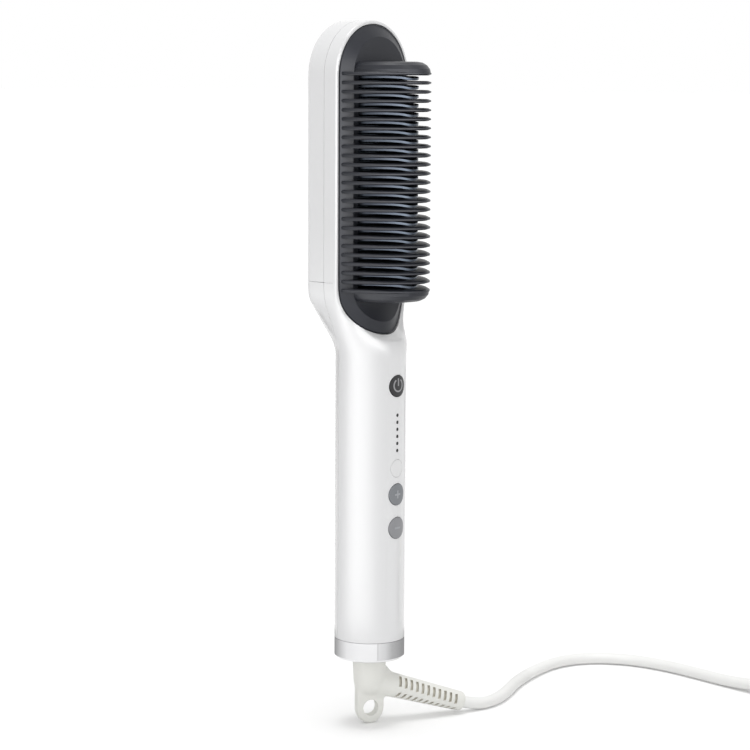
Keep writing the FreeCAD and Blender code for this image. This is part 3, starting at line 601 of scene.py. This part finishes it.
def neck_holds(bm):
    """Search tree of the vertices on the rims of openings, which stay where they are."""
    held = set()
    for f in bm.faces:
        middle = f.calc_center_median()
        off_seam = abs(middle.y - seam_y) > seam_near
        if f.calc_area() > neck_hold_area and off_seam and not on_skin(f):
            held.update(f.verts)
    tree = KDTree(len(held))
    for v in held:
        tree.insert(v.co, v.index)
    tree.balance()
    return tree


def blended_corners(bm, given, soft):
    """Normal at every face corner: the given one, turned to the soft one over the skin of the neck."""
    corners = []
    for f in bm.faces:
        skin = on_skin(f)
        for loop in f.loops:
            turn = loop[given].normalized()
            if skin and loop.vert in soft:
                turn = turn.lerp(soft[loop.vert], neck_share(loop.vert.co.z)).normalized()
            corners.append(turn)
    return corners


def neck_steps(bm, soft, means):
    """Moves that bring the skin to its local mean along the soft normals, less so near openings.

    The mean of a round surface lies inside it, so the handle's own share of that is added back."""
    holds = neck_holds(bm)
    lift = neck_move_reach ** 2 / (2 * handle_r)
    steps = []
    for (v, turn), mean in zip(soft.items(), means):
        free = smooth(holds.find(v.co)[2] / neck_free) * neck_share(v.co.z)
        steps.append(turn * ((Vector(mean) - v.co).dot(turn) + lift) * free)
    return steps


def make_neck(*housings):
    """Copies of the housings whose neck runs smoothly from the head's flat side into the round handle."""
    copies = [fine_copy(node) for node in housings]
    places, areas, turns = neck_samples(copies)
    for (mesh, bm), node in zip(copies, housings):
        given = bm.loops.layers.float_vector["given"]
        moved = [v for v in bm.verts if neck_share(v.co.z) > 0 and any(on_skin(f) for f in v.link_faces)]
        points = np.array([v.co for v in moved])
        soft_turns = local_mean(points, places, areas, turns, neck_turn_reach)
        soft = {v: Vector(turn).normalized() for v, turn in zip(moved, soft_turns)}
        corners = blended_corners(bm, given, soft)
        steps = neck_steps(bm, soft, local_mean(points, places, areas, places, neck_move_reach))
        for v, step in zip(moved, steps):
            v.co += step
        bm.loops.layers.float_vector.remove(given)
        bm.to_mesh(mesh)
        bm.free()
        mesh.shade_smooth()
        mesh.normals_split_custom_set(corners)
        link("smooth_" + node, mesh, "handle", "white_gloss", node)


# Strap

def hull(points):
    """Outline of flat points, anticlockwise."""
    halves = []
    for ordered in (sorted(points), sorted(points, reverse=True)):
        half = []
        for x, y in ordered:
            while len(half) > 1:
                (ax, ay), (bx, by) = half[-2:]
                if (bx - ax) * (y - ay) - (by - ay) * (x - ax) > 0:
                    break
                half.pop()
            half.append((x, y))
        halves += half[:-1]
    return halves


def make_tie():
    """Woven strap drawn tight round all the layers of the coil, with soft edges."""
    spin = Matrix.Rotation(coil_entry + math.tau * tie_turn, 4, "Z")
    home = (Matrix.Translation((*coil_centre, 0)) @ spin).inverted()
    steps = int(tie_samples * sum(stage[0] for stage in coil_stages()))
    inside = [home @ coil_point(i / tie_samples) for i in range(steps + 1)]
    inside = [p for p in inside if p.x > 0 and abs(p.y) < tie_width / 2]
    reach = cord_d / 2 + tie_gap
    ways = [math.tau * i / tie_round_points for i in range(tie_round_points)]
    line = hull([(p.x + reach * math.cos(w), p.z + reach * math.sin(w)) for p in inside for w in ways])
    half, flat = tie_width / 2, tie_width / 2 - tie_edge
    section = [(-half, tie_edge), (-half, tie_t - tie_edge), (-flat, tie_t), (flat, tie_t),
               (half, tie_t - tie_edge), (half, tie_edge), (flat, 0), (-flat, 0)]
    rings = []
    for before, (r, z), after in zip(line[-1:] + line[:-1], line, line[1:] + line[:1]):
        sides = ((before, (r, z)), ((r, z), after))
        legs = [Vector((q[1] - p[1], 0, p[0] - q[0])).normalized() for p, q in sides]
        out = (legs[0] + legs[1]).normalized()
        rings.append([Vector((r, y, z)) + out * t for y, t in section])
    bm = bmesh.new()
    loft(bm, rings, closed=True)
    mesh = mesh_from("coil_strap", bm)
    mesh.transform(home.inverted())
    mesh.shade_smooth()
    mesh.set_sharp_from_angle(angle=tie_sharp)
    return link("coil_strap", mesh, "cord_swivel", "tie_strap", "cord_tie")


# Signs

def sign_strip(bm, centre_z, rows):
    """Thin raised sign on the button's curved face; rows are pairs of (x, z) points across the stroke."""
    rings = []
    for a, b in rows:
        ring = []
        for (x, z), radius in ((a, button_face_r - sign_sink), (b, button_face_r - sign_sink),
                               (b, button_face_r + sign_proud), (a, button_face_r + sign_proud)):
            ring.append(Vector((x, -math.sqrt(radius ** 2 - x ** 2), z + centre_z)) * mm)
        rings.append(ring)
    loft(bm, rings)


def stroke_rows(x0, x1, z0, z1):
    """Rows of a straight stroke, split finely across the curve of the face."""
    if x1 - x0 > z1 - z0:
        count = max(1, round((x1 - x0) / sign_step))
        xs = [x0 + (x1 - x0) * i / count for i in range(count + 1)]
        return [((x, z0), (x, z1)) for x in xs]
    return [((x0, z), (x1, z)) for z in (z0, z1)]


def power_ring_rows():
    """Rows of the power sign's ring, open at the top."""
    inner = power_sign_r - power_sign_stroke
    rows = []
    for i in range(power_sign_steps + 1):
        angle = math.pi / 2 + power_sign_gap + (math.tau - 2 * power_sign_gap) * i / power_sign_steps
        way = Vector((math.cos(angle), math.sin(angle)))
        rows.append((tuple(way * inner), tuple(way * power_sign_r)))
    return rows


def make_signs():
    """Generic power sign, plus and minus on the three buttons."""
    thin, thick, half = power_sign_stroke / 2, level_sign_stroke / 2, level_sign_half
    bar = stroke_rows(-half, half, -thick, thick)
    strokes = {
        "power": [power_ring_rows(), stroke_rows(-thin, thin, -power_sign_foot, power_sign_r)],
        "plus": [bar, stroke_rows(-thick, thick, thick, half), stroke_rows(-thick, thick, -half, -thick)],
        "minus": [bar],
    }
    signs = []
    for name, parts in strokes.items():
        low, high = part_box(name + "_button")
        middle = (low.z + high.z) / 2 / mm
        slot = "button_grey"
        if name == "power":
            middle += power_sign_rise
            slot = "power_button_dark"
        bm = bmesh.new()
        for rows in parts:
            sign_strip(bm, middle, rows)
        signs.append(link(name + "_sign", mesh_from(name + "_sign", bm), name + "_key", slot))
    return signs


# Materials

def new_material(name, **values):
    """Principled material; the values name its sockets with underscores for spaces."""
    material = bpy.data.materials.new(name)
    material.use_nodes = True
    shader = material.node_tree.nodes["Principled BSDF"]
    for key, value in values.items():
        shader.inputs[key.replace("_", " ")].default_value = value
    return material, material.node_tree, shader


def noise(tree, scale, detail=2.0, roughness=0.5):
    """Noise over the object's own coordinates; scale is in cycles per metre."""
    place = tree.nodes.new("ShaderNodeTexCoord")
    node = tree.nodes.new("ShaderNodeTexNoise")
    node.inputs["Scale"].default_value = scale
    node.inputs["Detail"].default_value = detail
    node.inputs["Roughness"].default_value = roughness
    tree.links.new(place.outputs["Object"], node.inputs["Vector"])
    return node


def spread(tree, source, low, high, target):
    """Map a noise's middle range to low..high and send it to a socket."""
    node = tree.nodes.new("ShaderNodeMapRange")
    node.inputs["From Min"].default_value = noise_low
    node.inputs["From Max"].default_value = noise_high
    node.inputs["To Min"].default_value = low
    node.inputs["To Max"].default_value = high
    tree.links.new(source.outputs["Fac"], node.inputs["Value"])
    tree.links.new(node.outputs["Result"], target)


def tint(tree, source, dark, light, target, output="Fac"):
    """Colour that wanders between two close tones."""
    ramp = tree.nodes.new("ShaderNodeValToRGB")
    ramp.color_ramp.elements[0].position = noise_low
    ramp.color_ramp.elements[0].color = (*dark, 1)
    ramp.color_ramp.elements[1].position = noise_high
    ramp.color_ramp.elements[1].color = (*light, 1)
    tree.links.new(source.outputs[output], ramp.inputs["Fac"])
    tree.links.new(ramp.outputs["Color"], target)


def bump(tree, source, shader, distance, strength=1.0, output="Fac"):
    """Fine relief of the surface; distance is its depth in metres."""
    node = tree.nodes.new("ShaderNodeBump")
    node.inputs["Distance"].default_value = distance
    node.inputs["Strength"].default_value = strength
    tree.links.new(source.outputs[output], node.inputs["Height"])
    tree.links.new(node.outputs["Normal"], shader.inputs["Normal"])


def moulded(name, dark, light, rough, grain, depth, cloud=60.0, haze=160.0, **values):
    """Moulded plastic or rubber: two close tones, uneven gloss and a fine surface grain."""
    material, tree, shader = new_material(name, **values)
    tint(tree, noise(tree, cloud), dark, light, shader.inputs["Base Color"])
    spread(tree, noise(tree, haze, 4.0), rough[0], rough[1], shader.inputs["Roughness"])
    bump(tree, noise(tree, grain, 3.0), shader, depth)
    return material


def woven(name, dark, light, pitch):
    """Strap webbing: ribs across and along, with a duller thread between."""
    material, tree, shader = new_material(name, Sheen_Weight=0.3, Sheen_Roughness=0.5)
    place = tree.nodes.new("ShaderNodeTexCoord")
    waves = []
    for direction in ("X", "Y"):
        wave = tree.nodes.new("ShaderNodeTexWave")
        wave.bands_direction = direction
        wave.inputs["Scale"].default_value = 1 / (pitch * math.pi)
        wave.inputs["Distortion"].default_value = 0.6
        tree.links.new(place.outputs["Object"], wave.inputs["Vector"])
        waves.append(wave)
    weave = tree.nodes.new("ShaderNodeMath")
    weave.operation = "MULTIPLY"
    for wave, socket in zip(waves, weave.inputs):
        tree.links.new(wave.outputs["Fac"], socket)
    tint(tree, weave, dark, light, shader.inputs["Base Color"], "Value")
    spread(tree, noise(tree, 400.0, 3.0), 0.6, 0.8, shader.inputs["Roughness"])
    bump(tree, weave, shader, 0.12 * mm, 0.8, "Value")
    return material


def solder_board(name):
    """Green board lacquer with paler tracks under it."""
    material, tree, shader = new_material(name, Coat_Weight=0.4, Coat_Roughness=0.2)
    place = tree.nodes.new("ShaderNodeTexCoord")
    tracks = tree.nodes.new("ShaderNodeTexBrick")
    tracks.inputs["Color1"].default_value = (0.02, 0.12, 0.06, 1)
    tracks.inputs["Color2"].default_value = (0.025, 0.15, 0.07, 1)
    tracks.inputs["Mortar"].default_value = (0.06, 0.26, 0.12, 1)
    tracks.inputs["Scale"].default_value = 300.0
    tracks.inputs["Mortar Size"].default_value = 0.04
    tree.links.new(place.outputs["Object"], tracks.inputs["Vector"])
    tree.links.new(tracks.outputs["Color"], shader.inputs["Base Color"])
    spread(tree, noise(tree, 300.0), 0.35, 0.5, shader.inputs["Roughness"])
    bump(tree, tracks, shader, 0.03 * mm)
    return material


def make_finishes():
    """One finish for each kind of surface: two tones, range of roughness, grain and its depth."""
    return {
        "white": moulded("white_gloss", (0.769, 0.770, 0.776), (0.771, 0.772, 0.778), (0.277, 0.281),
                         1500.0, 0.0002 * mm, cloud=8.0, haze=15.0, Coat_Weight=1.0, Coat_Roughness=0.16),
        "lens": moulded("lens_white", (0.76, 0.76, 0.763), (0.77, 0.77, 0.773), (0.27, 0.30), 1500.0,
                        0.0002 * mm, Coat_Weight=1.0, Coat_Roughness=0.2),
        "dark": moulded("guard_plastic", (0.014, 0.0155, 0.021), (0.019, 0.0205, 0.027), (0.36, 0.44),
                        5000.0, 0.012 * mm, Specular_IOR_Level=0.3),
        "fins": moulded("heating_coat", (0.060, 0.075, 0.100), (0.085, 0.102, 0.132), (0.20, 0.28), 1500.0,
                        0.004 * mm, Metallic=0.6),
        "chrome": moulded("chrome", (0.80, 0.80, 0.81), (0.84, 0.84, 0.85), (0.06, 0.10), 2000.0,
                          0.0004 * mm, Metallic=1.0),
        "rubber": moulded("boot_rubber", (0.785, 0.785, 0.745), (0.81, 0.81, 0.77), (0.46, 0.56), 2500.0,
                          0.008 * mm),
        # Slot walls: the boot's rubber painted darker and tanner, as painted shade in the slots' recesses
        "slot": moulded("slot_painted_shade", (0.56, 0.54, 0.475), (0.60, 0.58, 0.51), (0.60, 0.70), 2500.0,
                        0.008 * mm),
        "jacket": moulded("cord_jacket", (0.84, 0.84, 0.825), (0.86, 0.86, 0.845), (0.42, 0.52), 2500.0,
                          0.006 * mm),
        "cap": moulded("cap_plastic", (0.70, 0.70, 0.68), (0.74, 0.74, 0.72), (0.42, 0.52), 2500.0,
                       0.008 * mm),
        "plus": moulded("plus_grey", (0.185, 0.195, 0.21), (0.22, 0.23, 0.245), (0.30, 0.40), 3000.0,
                        0.006 * mm, Metallic=0.2),
        "minus": moulded("minus_grey", (0.25, 0.252, 0.265), (0.285, 0.287, 0.30), (0.30, 0.40), 3000.0,
                         0.006 * mm, Metallic=0.2),
        "power": moulded("power_button_dark", (0.012, 0.0123, 0.0135), (0.017, 0.0173, 0.0185),
                         (0.28, 0.36), 3000.0, 0.006 * mm),
        "smoked": moulded("light_guide", (0.012, 0.012, 0.012), (0.016, 0.016, 0.016), (0.16, 0.22), 2000.0,
                          0.001 * mm),
        "steel": moulded("steel", (0.52, 0.53, 0.55), (0.62, 0.63, 0.65), (0.26, 0.38), 1800.0,
                         0.004 * mm, Metallic=1.0),
        "brass": moulded("blade_metal", (0.66, 0.57, 0.35), (0.72, 0.62, 0.39), (0.20, 0.30), 1200.0,
                         0.003 * mm, Metallic=1.0),
        "alumina": moulded("heater_body", (0.68, 0.68, 0.69), (0.76, 0.76, 0.77), (0.55, 0.70), 3000.0,
                           0.01 * mm),
        "mica": moulded("mica_sheet", (0.56, 0.49, 0.36), (0.72, 0.65, 0.50), (0.30, 0.50), 900.0,
                        0.01 * mm),
        "fuse": moulded("fuse_body", (0.74, 0.72, 0.66), (0.82, 0.80, 0.74), (0.35, 0.50), 2500.0,
                        0.006 * mm),
        "glass": moulded("sensor_glass", (0.46, 0.28, 0.13), (0.60, 0.40, 0.20), (0.08, 0.14), 1500.0,
                         0.002 * mm, Coat_Weight=0.5),
        "black": moulded("switch_body", (0.022, 0.022, 0.023), (0.032, 0.032, 0.033), (0.45, 0.58), 4000.0,
                         0.01 * mm),
        "plunger": moulded("switch_plunger", (0.075, 0.075, 0.08), (0.105, 0.105, 0.11), (0.35, 0.48),
                           4000.0, 0.008 * mm),
        "diode": moulded("diode", (0.78, 0.78, 0.72), (0.86, 0.86, 0.81), (0.20, 0.30), 3000.0, 0.004 * mm),
        "sign": moulded("sign_pale", (0.30, 0.30, 0.31), (0.36, 0.36, 0.37), (0.34, 0.44), 3000.0,
                        0.004 * mm),
        "level_sign": moulded("sign_grey", (0.32, 0.33, 0.35), (0.37, 0.38, 0.40), (0.30, 0.40), 3000.0,
                              0.004 * mm, Metallic=0.2),
        "strap": woven("tie_strap", (0.035, 0.035, 0.036), (0.075, 0.075, 0.077), 0.9 * mm),
        "board": solder_board("board"),
    }


def paint_nodes(finish):
    """Give each listed node of the model its finish, outer and inner."""
    wearers = {
        "white": ["front_housing", "rear_housing", "head_rear_cover"],
        "lens": ["status_lens"],
        "dark": ["comb_guard"],
        "fins": ["heating_comb"],
        "chrome": ["chrome_ring"],
        "cap": ["end_cap"],
        "plus": ["plus_button"],
        "minus": ["minus_button"],
        "power": ["power_button"],
        "smoked": ["indicator_light_guide"],
        "rubber": ["plug_body"],
        "brass": ["plug_blades"],
        "alumina": ["upper_heater", "lower_heater"],
        "mica": ["insulation_sheet"],
        "steel": ["clamp_plate", "comb_screws", "swivel_clip"],
        "fuse": ["thermal_fuse"],
        "glass": ["temperature_sensor"],
        "board": ["control_board"],
        "black": ["power_switch", "plus_switch", "minus_switch"],
        "plunger": ["power_switch_plunger", "plus_switch_plunger", "minus_switch_plunger"],
        "diode": ["indicator_diodes", "status_diode"],
    }
    for key, names in wearers.items():
        for node in names:
            slots = nodes[node].data.materials
            slots.clear()
            slots.append(finish[key])


# Stage and light

def seen_direct(tree, path):
    """1 for camera, glossy and transmission rays, 0 for the rest."""
    total = path.outputs["Is Camera Ray"]
    for name in ("Is Glossy Ray", "Is Transmission Ray"):
        node = tree.nodes.new("ShaderNodeMath")
        node.operation = "MAXIMUM"
        tree.links.new(total, node.inputs[0])
        tree.links.new(path.outputs[name], node.inputs[1])
        total = node.outputs["Value"]
    return total


def make_world():
    """White surroundings to look at, a little dimmer as a light."""
    world = bpy.data.worlds.new("studio")
    world.use_nodes = True
    scene.world = world
    tree = world.node_tree
    back = tree.nodes["Background"]
    back.inputs["Color"].default_value = (1, 1, 1, 1)
    path = tree.nodes.new("ShaderNodeLightPath")
    level = tree.nodes.new("ShaderNodeMix")
    level.inputs["A"].default_value = world_light
    level.inputs["B"].default_value = 1.0
    tree.links.new(seen_direct(tree, path), level.inputs["Factor"])
    tree.links.new(level.outputs["Result"], back.inputs["Strength"])


def make_floor():
    """Pale floor that keeps the shadow and joins the white background."""
    bm = bmesh.new()
    bmesh.ops.create_grid(bm, x_segments=1, y_segments=1, size=floor_half)
    mesh = mesh_from("floor", bm)
    floor = put("floor", mesh)
    floor.location.z = floor_z
    material, tree, shader = new_material("pale_floor", Roughness=0.7, Specular_IOR_Level=0.0)
    shader.inputs["Base Color"].default_value = (floor_tone, floor_tone, floor_tone, 1)
    shader.inputs["Emission Color"].default_value = (1, 1, 1, 1)
    path = tree.nodes.new("ShaderNodeLightPath")
    gain = tree.nodes.new("ShaderNodeMath")
    gain.operation = "MULTIPLY"
    gain.inputs[1].default_value = floor_glow
    tree.links.new(seen_direct(tree, path), gain.inputs[0])
    tree.links.new(gain.outputs["Value"], shader.inputs["Emission Strength"])
    mesh.materials.append(material)


def fade_card(tree, place, glow, fade):
    """Shader of a card that goes from solid at the first height to clear at the second."""
    height = tree.nodes.new("ShaderNodeSeparateXYZ")
    share = tree.nodes.new("ShaderNodeMapRange")
    share.interpolation_type = "SMOOTHSTEP"
    share.inputs["From Min"].default_value = min(fade)
    share.inputs["From Max"].default_value = max(fade)
    share.inputs["To Min"].default_value = float(fade[0] < fade[1])
    share.inputs["To Max"].default_value = float(fade[0] > fade[1])
    clear = tree.nodes.new("ShaderNodeBsdfTransparent")
    both = tree.nodes.new("ShaderNodeMixShader")
    tree.links.new(place.outputs["Object"], height.inputs["Vector"])
    tree.links.new(height.outputs["Z"], share.inputs["Value"])
    tree.links.new(share.outputs["Result"], both.inputs["Fac"])
    tree.links.new(clear.outputs["BSDF"], both.inputs[1])
    tree.links.new(glow.outputs["Emission"], both.inputs[2])
    return both.outputs["Shader"]


def card_material(name, tones, fade):
    """Glow whose level follows the tones round the card."""
    material = bpy.data.materials.new(name)
    material.use_nodes = True
    tree = material.node_tree
    tree.nodes.remove(tree.nodes["Principled BSDF"])
    place = tree.nodes.new("ShaderNodeTexCoord")
    turn = tree.nodes.new("ShaderNodeTexGradient")
    turn.gradient_type = "RADIAL"
    ramp = tree.nodes.new("ShaderNodeValToRGB")
    elements = ramp.color_ramp.elements
    while len(elements) < len(tones):
        elements.new(0.5)
    top = max(tone for degrees, tone in tones)
    for element, (degrees, tone) in zip(elements, tones):
        element.position = 0.5 + degrees / 360
        element.color = (tone / top, tone / top, tone / top, 1)
    glow = tree.nodes.new("ShaderNodeEmission")
    glow.inputs["Strength"].default_value = top
    tree.links.new(place.outputs["Object"], turn.inputs["Vector"])
    tree.links.new(turn.outputs["Fac"], ramp.inputs["Fac"])
    tree.links.new(ramp.outputs["Color"], glow.inputs["Color"])
    surface = fade_card(tree, place, glow, fade) if fade else glow.outputs["Emission"]
    tree.links.new(surface, tree.nodes["Material Output"].inputs["Surface"])
    return material


def tone_card(name, radius, low, high, tones, fade=None):
    """Upright curved card that only reflections see, with its tones round the object."""
    first, last = tones[0][0], tones[-1][0]
    bm = bmesh.new()
    rows = []
    for i in range(card_steps + 1):
        angle = math.radians(first + (last - first) * i / card_steps)
        x, y = radius * math.cos(angle), radius * math.sin(angle)
        rows.append((bm.verts.new((x, y, low)), bm.verts.new((x, y, high))))
    for (a, b), (c, d) in zip(rows, rows[1:]):
        bm.faces.new((a, c, d, b))
    mesh = mesh_from(name, bm)
    mesh.materials.append(card_material(name, tones, fade))
    card = put(name, mesh)
    card.rotation_euler.z = towards_camera
    card.visible_camera = False
    card.visible_diffuse = False
    card.visible_shadow = False
    card.visible_transmission = False


def make_cards():
    """Grey bands for the chrome ring, and over them bright stretches for the gloss of handle and head."""
    tone_card("ring_card", ring_card_r, floor_z, card_split, ring_tones)
    tone_card("gloss_card", gloss_card_r, card_split, card_fade[1], gloss_tones, card_fade)
    tone_card("head_card", head_card_r, card_fade[0], head_card_top, head_tones, card_fade[::-1])


def aim(lamp, place, target):
    """Put a lamp in its place, facing a point."""
    lamp.location = place
    lamp.rotation_mode = "QUATERNION"
    lamp.rotation_quaternion = (Vector(target) - Vector(place)).to_track_quat("-Z", "Y")


def make_lamps():
    """Even light from above and a soft fill from the front."""
    sun = bpy.data.lights.new("top_light", "SUN")
    sun.energy = top_light
    sun.angle = top_angle
    aim(put("top_light", sun), (0, 0, top_z), (0, 0, 0))
    fill = bpy.data.lights.new("fill_box", "AREA")
    fill.shape = "RECTANGLE"
    fill.size, fill.size_y = fill_size
    fill.energy = fill_power
    turn = towards_camera + math.radians(fill_turn)
    place = (fill_range * math.cos(turn), fill_range * math.sin(turn), fill_height)
    aim(put("fill_box", fill), place, (0, 0, fill_aim_z))


make_camera()
lead = make_cord()
tie = make_tie()
signs = make_signs()
finish = make_finishes()
paint_nodes(finish)
make_boot(finish)
make_neck("front_housing", "rear_housing")
lead.data.materials.append(finish["jacket"])
tie.data.materials.append(finish["strap"])
for piece in signs:
    piece.data.materials.append(finish["sign" if piece.name == "power_sign" else "level_sign"])
make_world()
make_floor()
make_cards()
make_lamps()
